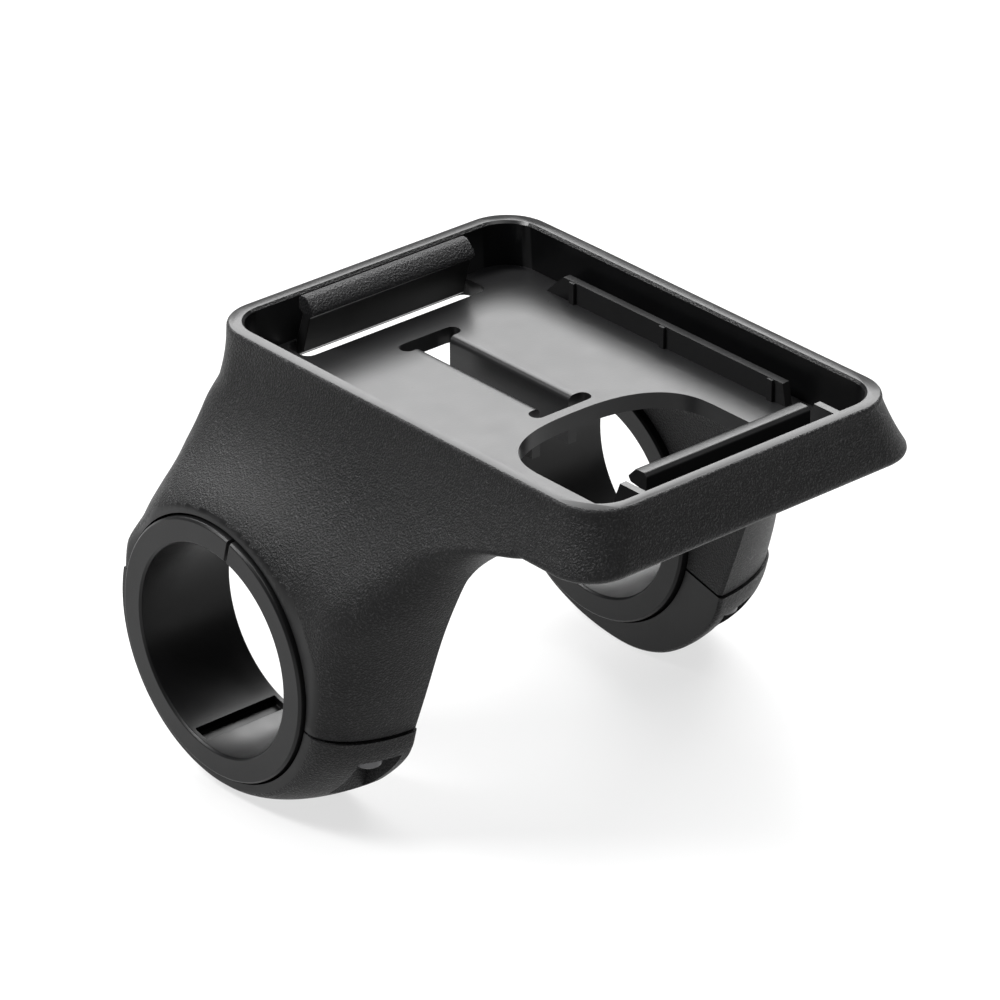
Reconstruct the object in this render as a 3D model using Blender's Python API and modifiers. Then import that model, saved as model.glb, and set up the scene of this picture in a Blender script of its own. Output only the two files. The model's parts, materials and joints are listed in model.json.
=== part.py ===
"""Handlebar holder for a cycling computer: a shallow tray on two flared legs with two bar clamps.

Frame: origin on the handlebar's axis, midway between the clamps. +X runs along the bar to the rider's
right, +Y from the tray's free end towards the clamps, and +Z is the normal of the tray's floor.
"""
import math

import bmesh
import bpy
from mathutils import Matrix, Vector

MM = 0.001
CLEARANCE = 0.3 * MM

# Handlebar, reducer ring and clamp
BAR_RADIUS = 12.7 * MM
RING_RADIUS = 15.75 * MM
RING_OUTER_X = 35.0 * MM
RING_INNER_X = 21.9 * MM
RING_CHAMFER = 0.25 * MM
RING_SLIT = 0.45 * MM
RING_GROOVE_WIDTH = 2.3 * MM
RING_GROOVE_DEPTH = 0.9 * MM
CLAMP_BORE = RING_RADIUS + CLEARANCE
CLAMP_OUTER_X = 34.3 * MM
CLAMP_INNER_X = 22.8 * MM
BAND_REAR = 16.85 * MM
BAND_FRONT = 17.25 * MM
SPLIT_TILT = math.radians(14.0)

# Tray
RIM_Z = 32.0 * MM
RIM_ROUND_Z = 31.1 * MM
FLOOR_TOP = 26.4 * MM
FLOOR_BOTTOM = 24.4 * MM
TRAY_HALF_WIDTH = 22.65 * MM
TRAY_REAR = 14.9 * MM
TRAY_FRONT = -50.6 * MM
TRAY_CORNER = 5.8 * MM
TRAY_CORNER_STEPS = 8
TRAY_SIDE_STEPS = 28
FRONT_LEAN = 0.28
CAVITY_HALF_WIDTH = 20.85 * MM
CAVITY_REAR = 13.0 * MM
CAVITY_FRONT = -48.7 * MM
CAVITY_CORNER = 4.2 * MM
CAVITY_GROWTH = ((26.4, 0.0), (31.7, 0.0), (32.0, 0.3), (33.0, 1.3))

# Outer flank of tray and leg
FLANK_LEAN = 0.266
FLANK_LEAN_START = 4.0 * MM
FLANK_LEAN_RUN = 40.0 * MM
FLARE = 0.0242 / MM
PULL_START = 16.24 * MM
PULL_REACH = 3.37 * MM
PULL_TO = 38.4 * MM
FLANK_BLEND = 4.0 * MM
JOIN_Z = 25.4 * MM
FRONT_FLAT_X = 23.0 * MM
FRONT_POWER = 1.8
FRONT_STEPS = 7

# Display latches
LATCH_HALF_WIDTH = 12.0 * MM
SLOT_HALF_WIDTH = 13.5 * MM
SLOT_FRONT = 8.4 * MM
SLOT_REAR = 12.6 * MM
REAR_LATCH_PIVOT = Vector((0.0, 11.7 * MM, 25.0 * MM))
FRONT_LATCH_PIVOT = Vector((0.0, -46.3 * MM, 25.0 * MM))

# Clamp screw and its insert, in the clamp's own plane
SCREW_X = 26.9 * MM
SCREW_S = 19.0 * MM
SCREW_SHANK = 1.1 * MM
SCREW_HEAD = 1.9 * MM
SCREW_HEAD_HEIGHT = 1.5 * MM
SCREW_TIP = 3.6 * MM
SOCKET_RADIUS = 0.85 * MM
CAP_FLANGE = 3.35 * MM
POCKET_OUTER_X = 29.7 * MM
POCKET_INNER_X = 24.4 * MM
INSERT_RADIUS = 1.75 * MM
INSERT_BORE = 1.4 * MM
INSERT_BASE = 0.6 * MM
INSERT_TOP = 5.0 * MM

# Hook hinge at the back of each cap
HINGE_S = -18.4 * MM
HINGE_BAR = 0.9 * MM
LUG_RADIUS = 1.2 * MM
LUG_SPANS = ((30.4 * MM, 29.2 * MM), (24.9 * MM, 23.7 * MM))
HOOK_SPAN = (28.9 * MM, 25.2 * MM)
HOOK_INNER = 1.2 * MM
HOOK_OUTER = 2.1 * MM

PARTS = "cycling_computer_holder"
CUTTERS = "cutters"


# ---------------------------------------------------------------- scene and materials

def clear_scene():
    for old in list(bpy.data.objects):
        bpy.data.objects.remove(old, do_unlink=True)
    for name in (PARTS, CUTTERS):
        collection = bpy.data.collections.new(name)
        bpy.context.scene.collection.children.link(collection)


def plastic(name, colour, roughness, metallic=0.0):
    material = bpy.data.materials.new(name)
    material.use_nodes = True
    shader = material.node_tree.nodes["Principled BSDF"]
    shader.inputs["Base Color"].default_value = (*colour, 1.0)
    shader.inputs["Roughness"].default_value = roughness
    shader.inputs["Metallic"].default_value = metallic
    return material


def place(obj, collection, material=None):
    bpy.data.collections[collection].objects.link(obj)
    if material:
        obj.data.materials.clear()
        obj.data.materials.append(material)
    if collection == CUTTERS:
        obj.hide_render = True
        obj.display_type = "WIRE"
    return obj


def object_from(bm, name, collection=CUTTERS, material=None):
    bmesh.ops.recalc_face_normals(bm, faces=bm.faces)
    mesh = bpy.data.meshes.new(name)
    bm.to_mesh(mesh)
    bm.free()
    return place(bpy.data.objects.new(name, mesh), collection, material)


def boolean(target, tool, operation):
    modifier = target.modifiers.new(tool.name, "BOOLEAN")
    modifier.operation = operation
    modifier.solver = "EXACT"
    modifier.object = tool


def cut(target, *tools):
    for tool in tools:
        boolean(target, tool, "DIFFERENCE")


def join(target, *tools):
    for tool in tools:
        boolean(target, tool, "UNION")


def shade(obj, angle=35.0):
    obj.data.shade_smooth()
    obj.data.set_sharp_from_angle(angle=math.radians(angle))


def move_origin(obj, point):
    """Put the object's origin on its joint without moving its mesh."""
    obj.data.transform(Matrix.Translation(-point))
    obj.location = point


# ---------------------------------------------------------------- shape helpers

def smoothstep(t):
    t = min(max(t, 0.0), 1.0)
    return t * t * (3.0 - 2.0 * t)


def smooth_min(a, b, width):
    """Smaller of two sizes, rounded over where they are within width of each other."""
    blend = max(width - abs(a - b), 0.0) / width
    return min(a, b) - blend * blend * width / 4.0


def along(table, value):
    """Read a short table of (position, size) pairs as a smooth curve that never overshoots its rows."""
    if value <= table[0][0]:
        return table[0][1]
    if value >= table[-1][0]:
        return table[-1][1]
    secants = [(after[1] - before[1]) / (after[0] - before[0]) for before, after in zip(table, table[1:])]
    slopes = [secants[0]]
    for one, two in zip(secants, secants[1:]):
        slopes.append(2.0 * one * two / (one + two) if one * two > 0.0 else 0.0)
    slopes.append(secants[-1])
    i = max(k for k in range(len(secants)) if table[k][0] <= value)
    run = table[i + 1][0] - table[i][0]
    t = (value - table[i][0]) / run
    rise = table[i + 1][1] - table[i][1]
    return (table[i][1] + rise * smoothstep(t)
            + run * t * (1.0 - t) * (slopes[i] * (1.0 - t) - slopes[i + 1] * t))


def smooth_outline(points, steps):
    """Open Catmull-Rom curve through the points."""
    ends = [2 * Vector(points[0]) - Vector(points[1]), 2 * Vector(points[-1]) - Vector(points[-2])]
    path = [ends[0], *(Vector(p) for p in points), ends[1]]
    curve = []
    for a, b, c, d in zip(path, path[1:], path[2:], path[3:]):
        for i in range(steps):
            t = i / steps
            curve.append(0.5 * ((2 * b) + (c - a) * t + (2 * a - 5 * b + 4 * c - d) * t * t
                                + (3 * b - a - 3 * c + d) * t ** 3))
    curve.append(path[-2])
    return curve


def rounded_rectangle(low, high, radius, steps=8):
    corners = ((high[0], high[1], 0), (low[0], high[1], 90), (low[0], low[1], 180), (high[0], low[1], 270))
    points = []
    for x, y, start in corners:
        centre = Vector((x - math.copysign(radius, x - low[0] - 1e-9), 0))
        centre.x = x - radius if x == high[0] else x + radius
        centre.y = y - radius if y == high[1] else y + radius
        for i in range(steps + 1):
            angle = math.radians(start + 90.0 * i / steps)
            points.append(centre + radius * Vector((math.cos(angle), math.sin(angle))))
    return points


def loft(sections, name, collection=CUTTERS, material=None):
    """Skin a stack of closed sections that have the same number of points."""
    bm = bmesh.new()
    rings = [[bm.verts.new(point) for point in section] for section in sections]
    for lower, upper in zip(rings, rings[1:]):
        for i in range(len(lower)):
            j = (i + 1) % len(lower)
            bm.faces.new((lower[i], lower[j], upper[j], upper[i]))
    bm.faces.new(rings[0])
    bm.faces.new(rings[-1])
    return object_from(bm, name, collection, material)


def prism(name, outline, thickness, frame, collection=CUTTERS, material=None):
    """Extrude a flat outline by thickness, centred on the frame's XY plane."""
    curve = bpy.data.curves.new(name, "CURVE")
    curve.dimensions = "2D"
    curve.fill_mode = "BOTH"
    curve.extrude = thickness / 2.0
    spline = curve.splines.new("POLY")
    spline.points.add(len(outline) - 1)
    for spot, point in zip(spline.points, outline):
        spot.co = (point[0], point[1], 0.0, 1.0)
    spline.use_cyclic_u = True
    drawing = place(bpy.data.objects.new(name, curve), CUTTERS)
    bpy.context.view_layer.update()
    evaluated = drawing.evaluated_get(bpy.context.evaluated_depsgraph_get())
    mesh = bpy.data.meshes.new_from_object(evaluated)
    bpy.data.objects.remove(drawing, do_unlink=True)
    bpy.data.curves.remove(curve)
    bm = bmesh.new()
    bm.from_mesh(mesh)
    bpy.data.meshes.remove(mesh)
    bmesh.ops.remove_doubles(bm, verts=bm.verts, dist=0.005 * MM)
    bmesh.ops.transform(bm, matrix=frame, verts=bm.verts)
    return object_from(bm, name, collection, material)


def box(name, low, high, frame=Matrix.Identity(4)):
    low, high = Vector(low), Vector(high)
    bm = bmesh.new()
    bmesh.ops.create_cube(bm, size=1.0)
    size = high - low
    bmesh.ops.transform(bm, matrix=frame @ Matrix.Translation((low + high) / 2) @ Matrix.Diagonal((*size, 1)),
                        verts=bm.verts)
    return object_from(bm, name)


def cylinder(name, radius, length, frame, segments=48, collection=CUTTERS, material=None):
    """Closed cylinder along the frame's Z axis, centred on its origin."""
    bm = bmesh.new()
    bmesh.ops.create_cone(bm, cap_ends=True, segments=segments, radius1=radius, radius2=radius, depth=length)
    bmesh.ops.transform(bm, matrix=frame, verts=bm.verts)
    return object_from(bm, name, collection, material)


def turned(name, profile, frame, steps, collection, material):
    """Spin a closed profile of (radius, height) points about the frame's Z axis with a Screw modifier."""
    bm = bmesh.new()
    verts = [bm.verts.new((radius, 0.0, height)) for radius, height in profile]
    for i in range(len(verts)):
        bm.edges.new((verts[i], verts[(i + 1) % len(verts)]))
    mesh = bpy.data.meshes.new(name)
    bm.to_mesh(mesh)
    bm.free()
    obj = place(bpy.data.objects.new(name, mesh), collection, material)
    obj.matrix_world = frame
    screw = obj.modifiers.new("spin", "SCREW")
    screw.steps = steps
    screw.render_steps = steps
    screw.use_merge_vertices = True
    screw.merge_threshold = 0.00001
    screw.use_smooth_shade = True
    return obj


YZ_FRAME = Matrix(((0, 0, 1, 0), (1, 0, 0, 0), (0, 1, 0, 0), (0, 0, 0, 1)))
ALONG_X = Matrix.Rotation(math.radians(90), 4, "Y")


# Clamp's own axes: X along the bar, Y backwards along the split, Z up from the split
CLAMP_FRAME = Matrix.Rotation(SPLIT_TILT, 4, "X")


def clamp_place(side, x, s, h=0.0):
    """Clamp axes moved to x along the bar, s towards the screw and h above the split."""
    return CLAMP_FRAME @ Matrix.Translation((side * x, -s, h))


def clamp_section(side, x):
    """Frame whose XY plane holds (towards the screw, up) at distance x along the bar."""
    turn = Matrix(((0, 0, -1, 0), (-1, 0, 0, 0), (0, 1, 0, 0), (0, 0, 0, 1)))
    return clamp_place(side, x, 0.0) @ turn


def clamp_box(name, side, x_span, s_span, h_span):
    xs = sorted(side * x for x in x_span)
    return box(name, (xs[0], -max(s_span), min(h_span)), (xs[1], -min(s_span), max(h_span)), CLAMP_FRAME)


# ---------------------------------------------------------------- body

FRONT_EDGE = [(-8.0, -20.3), (0.0, -23.3), (8.0, -26.2), (13.0, -28.4), (18.0, -31.1), (20.5, -33.4),
              (22.3, -36.0), (23.4, -38.6), (24.4, -42.0), (25.4, -43.0)]
REAR_EDGE = [(-8.0, 16.4), (5.0, 16.4), (9.0, 16.2), (14.0, 15.6), (20.0, 15.0), (25.4, 14.9)]
REAR_ROUND = [(4.0, 0.5), (7.0, 1.1), (11.0, 5.0), (15.0, 5.9), (19.0, 4.4), (22.5, 4.1), (25.4, 5.8)]
CORNER_HOLD = [(8.0, 0.20), (16.0, 0.28), (25.4, 1.0)]
FRONT_DEPTH = [(-6.0, 5.4), (0.0, 6.4), (8.0, 8.8), (14.0, 10.0), (18.0, 9.0), (22.0, 6.0), (25.4, 3.0)]
INNER_WALL = [(17.0, 22.8), (19.5, 22.1), (22.0, 20.6), (24.0, 18.9), (25.4, 17.2)]
RIM_INSETS = [(24.4, 1.2), (24.8, 0.4), (25.4, 0.0), (27.2, 0.0), (29.2, 0.0), (31.1, 0.0), (31.8, 0.07),
              (32.0, 0.3)]


def flank(y, z):
    """Distance of the outer flank from the middle plane: a leaning wall pulled out to the clamp's face."""
    drop = max(RIM_ROUND_Z - z, 0.0)
    lean = FLANK_LEAN * smoothstep((FLANK_LEAN_START - y) / FLANK_LEAN_RUN)
    wall = TRAY_HALF_WIDTH + lean * drop + FLARE * drop ** 2
    beyond = max(math.hypot(y, z) - PULL_START, 0.0)
    pull = math.exp(-beyond / PULL_REACH)
    pulled = wall + max(PULL_TO - wall, 0.0) * pull
    return smooth_min(pulled, CLAMP_OUTER_X, FLANK_BLEND)


def rounded(t):
    """Rise from 0 to 1 along a quarter of a flattened ellipse."""
    t = min(max(t, 0.0), 1.0)
    return (1.0 - (1.0 - t) ** FRONT_POWER) ** (1.0 / FRONT_POWER)


def tray_half(z, inset):
    """Half of the tray's outline, from the rear corner along the flank and round the front corner."""
    front = TRAY_FRONT - FRONT_LEAN * (RIM_ROUND_Z - min(z, RIM_ROUND_Z)) + inset
    rear = TRAY_REAR - inset
    corner = TRAY_CORNER - inset
    half = []
    for i in range(TRAY_CORNER_STEPS):
        angle = math.radians(90 * (1 - i / TRAY_CORNER_STEPS))
        y = rear - corner + corner * math.sin(angle)
        half.append((flank(rear - corner, z) - inset - corner * (1 - math.cos(angle)), y))
    for i in range(TRAY_SIDE_STEPS + 1):
        y = rear - corner + (front - rear + 2 * corner) * i / TRAY_SIDE_STEPS
        half.append((flank(y, z) - inset, y))
    for i in range(1, TRAY_CORNER_STEPS + 1):
        angle = math.radians(90 * i / TRAY_CORNER_STEPS)
        y = front + corner - corner * math.sin(angle)
        half.append((flank(front + corner, z) - inset - corner * (1 - math.cos(angle)), y))
    return half


def tray_section(z, inset):
    half = tray_half(z, inset)
    right = [Vector((x, y, z)) for x, y in half]
    left = [Vector((-x, y, z)) for x, y in reversed(half)]
    return right + left


def leg_stations():
    """Tray outline points that the leg's skin runs into, and the fractions of its depth they stand at."""
    level = JOIN_Z / MM
    front = along(FRONT_EDGE, level) * MM
    start = front + along(FRONT_DEPTH, level) * MM
    shared = [point for point in reversed(tray_half(JOIN_Z, 0.0)) if point[1] > start]
    fractions = [(y - front) / (TRAY_REAR - front) for _, y in shared]
    lead = [fractions[0] * (i / FRONT_STEPS) ** 1.4 for i in range(FRONT_STEPS)]
    return shared, lead + fractions


def leg_section(side, z):
    shared, fractions = leg_stations()
    front = along(FRONT_EDGE, z / MM) * MM
    rear = along(REAR_EDGE, z / MM) * MM
    depth = along(FRONT_DEPTH, z / MM) * MM
    corner = along(REAR_ROUND, z / MM) * MM
    hold = along(CORNER_HOLD, z / MM)
    inner = along(INNER_WALL, z / MM) * MM
    edge = INNER_EDGE[0][1] * MM
    skin = []
    for fraction in fractions:
        y = front + (rear - front) * fraction
        x = flank(min(y, rear - hold * corner), z)
        x = FRONT_FLAT_X + (x - FRONT_FLAT_X) * rounded((y - front) / depth)
        behind = max(y - (rear - corner), 0.0)
        x -= corner - math.sqrt(max(corner ** 2 - behind ** 2, 0.0))
        skin.append((max(x, inner + edge), y))
    tuck = 0.0
    if z == JOIN_Z:
        skin[FRONT_STEPS:] = shared
        tuck = edge
    outline = [(inner, front + edge), (inner + edge, front), *skin, (inner + edge / 2, rear - tuck),
               (inner, rear - edge - tuck)]
    return [Vector((side * x, y, z)) for x, y in outline]


def leg(side):
    """Leg with its skin run into the tray's outline at the join, and its top tucked inside the tray."""
    levels = [-8, -5.5, -3.3, 0.1, 2.5, 5, 6.6, 8, 9.2, 10.4, 11.6, 12.8, 14, 15.2, 16.5, 18, 19.4, 20.7, 21.9, 22.9,
              23.7, 24.4]
    sections = [leg_section(side, z * MM) for z in levels]
    join_section = leg_section(side, JOIN_Z)
    tuck = Vector((-side * MM, -MM, 0.6 * MM))
    return loft([*sections, join_section, [point + tuck for point in join_section]], f"leg_{side:+d}")


def cable_opening():
    """Rounded opening at the tray's free end, for the display's plug and lead."""
    half_width, shoulder, depth, power = 12.8 * MM, -31.0 * MM, 9.3 * MM, 2.6
    front, corner = -47.25 * MM, 0.6 * MM
    arc = []
    for i in range(21):
        angle = math.pi * i / 20
        across = math.copysign(abs(math.cos(angle)) ** (2 / power), math.cos(angle))
        arc.append((half_width * across, shoulder + depth * abs(math.sin(angle)) ** (2 / power)))
    for centre_x, start in ((-half_width + corner, 180), (half_width - corner, 270)):
        for i in range(6):
            angle = math.radians(start + 18 * i)
            arc.append((centre_x + corner * math.cos(angle), front + corner + corner * math.sin(angle)))
    return prism("cable_opening", arc, 8 * MM, Matrix.Translation((0, 0, 25.4 * MM)))


def tie_channel():
    """Slot along the floor with rounded upper edges."""
    half_width, radius = 2.1 * MM, 0.8 * MM
    lip = [(half_width + radius * (1 - math.cos(math.radians(a))), FLOOR_TOP - radius * (1 - math.sin(math.radians(a))))
           for a in range(0, 91, 18)]
    right = [(half_width, 18 * MM), *lip, (half_width + radius, 28 * MM)]
    outline = right + [(-x, z) for x, z in reversed(right)]
    upright = Matrix.Translation((0, -8.2 * MM, 0)) @ Matrix.Rotation(math.radians(90), 4, "X")
    return prism("tie_channel", outline, 21.6 * MM, upright)


def floor_slots():
    level = Matrix.Translation((0, 0, 25.4 * MM))
    rear = rounded_rectangle((-SLOT_HALF_WIDTH, SLOT_FRONT), (SLOT_HALF_WIDTH, SLOT_REAR), 1.2 * MM, 4)
    tools = [prism("rear_slot", rear, 8 * MM, level)]
    for name, middle in (("tie_slot_rear", 2.9 * MM), ("tie_slot_front", -19.4 * MM)):
        outline = rounded_rectangle((-4.3 * MM, middle - MM), (4.3 * MM, middle + MM), 0.95 * MM, 4)
        tools.append(prism(name, outline, 8 * MM, level))
    tools.append(tie_channel())
    return tools


def rail(side):
    """Low locating rail beside the display, with a sloped rear end."""
    top, foot = 29.1 * MM, FLOOR_TOP - 0.6 * MM
    outline = [(3.9 * MM, foot), (3.7 * MM, FLOOR_TOP), (0.8 * MM, top), (-35.8 * MM, top),
               (-36.3 * MM, FLOOR_TOP), (-36.3 * MM, foot)]
    middle = Matrix.Translation((side * 18.85 * MM, 0, 0))
    return prism(f"rail_{side:+d}", outline, 1.0 * MM, middle @ YZ_FRAME)


def crush_ribs(side):
    ribs = []
    for number, y in enumerate((-0.9, -16.2, -34.0)):
        low = (side * 18.0 * MM, (y - 0.4) * MM, FLOOR_TOP - 0.4 * MM)
        high = (side * 18.6 * MM, (y + 0.4) * MM, 29.05 * MM)
        pair = [(min(a, b), max(a, b)) for a, b in zip(low, high)]
        ribs.append(box(f"rib_{side:+d}_{number}", [p[0] for p in pair], [p[1] for p in pair]))
    return ribs


def gusset(side):
    outline = [(-49.4 * MM, 25.6 * MM), (-43.3 * MM, 25.6 * MM), (-43.4 * MM, FLOOR_TOP), (-45.6 * MM, 31.8 * MM),
               (-49.4 * MM, 31.8 * MM)]
    middle = Matrix.Translation((side * 14.2 * MM, 0, 0))
    return prism(f"gusset_{side:+d}", outline, 0.9 * MM, middle @ YZ_FRAME)


def tie_flange(side):
    """Lip under the floor along the tie channel."""
    low, high = sorted((side * 2.1 * MM, side * 3.3 * MM))
    return box(f"tie_flange_{side:+d}", (low, -18.4 * MM, 20.4 * MM), (high, 1.9 * MM, 25.0 * MM))


def hinge_mount(side):
    """Two lugs and the bar between them that the cap's hook turns on."""
    pieces = []
    for number, (outer, inner) in enumerate(LUG_SPANS):
        outline = [(HINGE_S + LUG_RADIUS * math.cos(math.radians(a)), LUG_RADIUS * math.sin(math.radians(a)))
                   for a in range(180, 345, 15)]
        outline += [(HINGE_S + LUG_RADIUS, 0.6 * MM), (-16.4 * MM, 0.6 * MM), (-16.4 * MM, 4.6 * MM),
                    (HINGE_S - LUG_RADIUS + 0.9 * MM, 3.2 * MM)]
        pieces.append(prism(f"lug_{side:+d}_{number}", outline, outer - inner,
                            clamp_section(side, (outer + inner) / 2)))
    length = LUG_SPANS[0][0] - LUG_SPANS[1][1] - 1.0 * MM
    middle = (LUG_SPANS[0][0] + LUG_SPANS[1][1]) / 2
    frame = clamp_place(side, middle, HINGE_S) @ ALONG_X
    pieces.append(cylinder(f"hinge_bar_{side:+d}", HINGE_BAR, length, frame, 24))
    return pieces


def clamp_cuts(side):
    """Bar bore, the split below it and the insert's blind hole."""
    middle = (CLAMP_OUTER_X + CLAMP_INNER_X) / 2
    bore = cylinder(f"bore_{side:+d}", CLAMP_BORE, 20 * MM, clamp_place(side, middle, 0) @ ALONG_X, 96)
    below = clamp_box(f"below_split_{side:+d}", side, (20 * MM, 40 * MM), (-17.3 * MM, 40 * MM),
                      (-20 * MM, CLEARANCE / 2))
    hole = cylinder(f"insert_hole_{side:+d}", INSERT_RADIUS + CLEARANCE, 9.0 * MM,
                    clamp_place(side, SCREW_X, SCREW_S, 3.0 * MM), 32)
    return bore, below, hole


def cavity_section(z, grow):
    """Outline of the tray's hollow, grown outwards for the chamfer inside the rim."""
    grow = grow * MM
    low = (-CAVITY_HALF_WIDTH - grow, CAVITY_FRONT - grow)
    high = (CAVITY_HALF_WIDTH + grow, CAVITY_REAR + grow)
    return [point.to_3d() + Vector((0, 0, z * MM)) for point in rounded_rectangle(low, high, CAVITY_CORNER + grow)]


def holder_body(material):
    sections = [tray_section(z * MM, inset * MM) for z, inset in RIM_INSETS]
    body = loft(sections, "holder_body", PARTS, material)
    pocket = loft([cavity_section(z, grow) for z, grow in CAVITY_GROWTH], "tray_cavity")
    join(body, leg(-1), leg(1))
    cut(body, pocket)
    for side in (-1, 1):
        join(body, rail(side), *crush_ribs(side), gusset(side), tie_flange(side))
    cut(body, cable_opening(), *floor_slots())
    for side in (-1, 1):
        cut(body, *clamp_cuts(side))
        join(body, *hinge_mount(side))
    return body


# ---------------------------------------------------------------- latches

REAR_LATCH = [(10.85, 25.7), (10.75, 26.3), (9.6, 30.35), (8.85, 30.9), (9.0, 31.5), (10.0, 32.55), (10.3, 32.75),
              (11.1, 32.75), (11.5, 32.3), (11.5, 31.0), (10.85, 30.6), (12.25, 26.3), (12.25, 24.7)]
FRONT_LATCH = [(-45.7, 24.7), (-45.7, 30.4), (-44.3, 30.6), (-43.9, 31.2), (-45.0, 32.35), (-45.4, 32.5),
               (-46.5, 32.5), (-46.9, 32.1), (-46.9, 24.7)]


def latch(name, outline, pivot, material):
    points = [(y * MM, z * MM) for y, z in outline]
    obj = prism(name, points, 2 * LATCH_HALF_WIDTH, YZ_FRAME, PARTS, material)
    move_origin(obj, pivot)
    return obj


# ---------------------------------------------------------------- clamp pieces

CAP_PROFILE = [(22.2, 1.0), (22.2, -0.8), (22.1, -2.6), (21.5, -4.8), (19.9, -7.8), (17.6, -11.1), (14.4, -14.1),
               (10.2, -16.2), (5.2, -17.2), (0.0, -17.3), (-5.2, -16.3), (-10.0, -13.8), (-13.9, -9.8),
               (-16.1, -5.2), (-16.85, -0.8), (-16.85, 1.0)]
INNER_EDGE = [(22.8, 0.35), (23.0, 0.12), (23.3, 0.0)]
CAP_STATIONS = (34.3, 34.0, 33.2, 32.2, 31.0, 29.5, 28.0, 26.0, 24.0, 23.3, 23.0, 22.8)


def cap_section(side, x):
    """Outline at one distance along the bar: a plain band outside, swelling to the screw boss inside."""
    swell = rounded(1.0 - max((x - FRONT_FLAT_X) / (CLAMP_OUTER_X - FRONT_FLAT_X), 0.0))
    points = []
    for spot in smooth_outline([(s * MM, h * MM) for s, h in CAP_PROFILE], 3):
        forward = max(spot.x / spot.length, 0.0)
        band = BAND_REAR + (BAND_FRONT - BAND_REAR) * forward
        radius = band + (max(spot.length, band) - band) * swell - along(INNER_EDGE, x / MM) * MM
        shape = spot * (radius / spot.length)
        points.append(CLAMP_FRAME @ Vector((side * x, -shape.x, shape.y)))
    return points


def clamp_cap(side, name, material):
    sections = [cap_section(side, x * MM) for x in CAP_STATIONS]
    cap = loft(sections, name, PARTS, material)
    arc = [math.radians(a) for a in range(-30, -216, -10)]
    hook = [(HINGE_S + HOOK_OUTER * math.cos(a), HOOK_OUTER * math.sin(a)) for a in arc]
    hook += [(HINGE_S + HOOK_INNER * math.cos(a), HOOK_INNER * math.sin(a)) for a in reversed(arc)]
    root = [(-16.7 * MM, -0.5 * MM), (-16.5 * MM, -3.2 * MM), (HINGE_S + 0.4 * MM, -2.0 * MM),
            (HINGE_S + 0.9 * MM, -1.0 * MM)]
    middle = clamp_section(side, (HOOK_SPAN[0] + HOOK_SPAN[1]) / 2)
    width = HOOK_SPAN[0] - HOOK_SPAN[1]
    above = clamp_box(f"above_split_{side:+d}", side, (18 * MM, 40 * MM), (-30 * MM, 30 * MM),
                      (-CLEARANCE / 2, 20 * MM))
    bore = cylinder(f"cap_bore_{side:+d}", CLAMP_BORE, 20 * MM, clamp_place(side, 28.5 * MM, 0) @ ALONG_X, 96)
    pocket = clamp_box(f"screw_pocket_{side:+d}", side, (POCKET_INNER_X, POCKET_OUTER_X), (16.95 * MM, 30 * MM),
                       (-30 * MM, -CAP_FLANGE))
    hole = cylinder(f"screw_hole_{side:+d}", SCREW_SHANK + 0.4 * MM, 12 * MM,
                    clamp_place(side, SCREW_X, SCREW_S), 32)
    cut(cap, above, bore, pocket, hole)
    join(cap, prism(f"hook_root_{side:+d}", root, width - 0.3 * MM, middle), prism(f"hook_{side:+d}", hook, width, middle))
    move_origin(cap, clamp_place(side, 28.5 * MM, HINGE_S).translation)
    return cap


def spacer_ring(side, name, material):
    """Reducer ring, split at the top and thinned along a film hinge at the bottom."""
    half = (RING_OUTER_X - RING_INNER_X) / 2
    c = RING_CHAMFER
    profile = [(RING_RADIUS, half - c), (RING_RADIUS, c - half), (RING_RADIUS - c, -half), (BAR_RADIUS + c, -half),
               (BAR_RADIUS, c - half), (BAR_RADIUS, half - c), (BAR_RADIUS + c, half), (RING_RADIUS - c, half)]
    frame = clamp_place(side, (RING_OUTER_X + RING_INNER_X) / 2, 0) @ ALONG_X
    ring = turned(name, profile, frame, 96, PARTS, material)
    slit = clamp_box(f"slit_{side:+d}", side, (15 * MM, 40 * MM), (-RING_SLIT / 2, RING_SLIT / 2),
                     (10 * MM, 20 * MM))
    groove = clamp_box(f"film_hinge_{side:+d}", side, (RING_INNER_X + 0.8 * MM, RING_OUTER_X - 0.8 * MM),
                       (-RING_GROOVE_WIDTH / 2, RING_GROOVE_WIDTH / 2),
                       (-BAR_RADIUS - RING_GROOVE_DEPTH, -10 * MM))
    cut(ring, slit, groove)
    return ring


def clamp_screw(side, name, material):
    seat = -CAP_FLANGE - CLEARANCE
    base = seat - SCREW_HEAD_HEIGHT
    profile = [(0.0, SCREW_TIP), (SCREW_SHANK - 0.25 * MM, SCREW_TIP), (SCREW_SHANK, SCREW_TIP - 0.3 * MM),
               (SCREW_SHANK, seat), (SCREW_HEAD - 0.12 * MM, seat), (SCREW_HEAD, seat - 0.15 * MM),
               (SCREW_HEAD, base + 0.3 * MM), (SCREW_HEAD - 0.3 * MM, base), (0.0, base)]
    bm = bmesh.new()
    verts = [bm.verts.new((radius, 0.0, height)) for radius, height in profile]
    edges = [bm.edges.new(pair) for pair in zip(verts, verts[1:])]
    bmesh.ops.spin(bm, geom=verts + edges, cent=(0, 0, 0), axis=(0, 0, 1), angle=2 * math.pi, steps=32)
    bmesh.ops.remove_doubles(bm, verts=bm.verts, dist=0.001 * MM)
    screw = object_from(bm, name, PARTS, material)
    screw.matrix_world = clamp_place(side, SCREW_X, SCREW_S)
    socket_frame = clamp_place(side, SCREW_X, SCREW_S, base)
    cut(screw, cylinder(f"socket_{side:+d}", SOCKET_RADIUS, 1.8 * MM, socket_frame, 6))
    return screw


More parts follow.
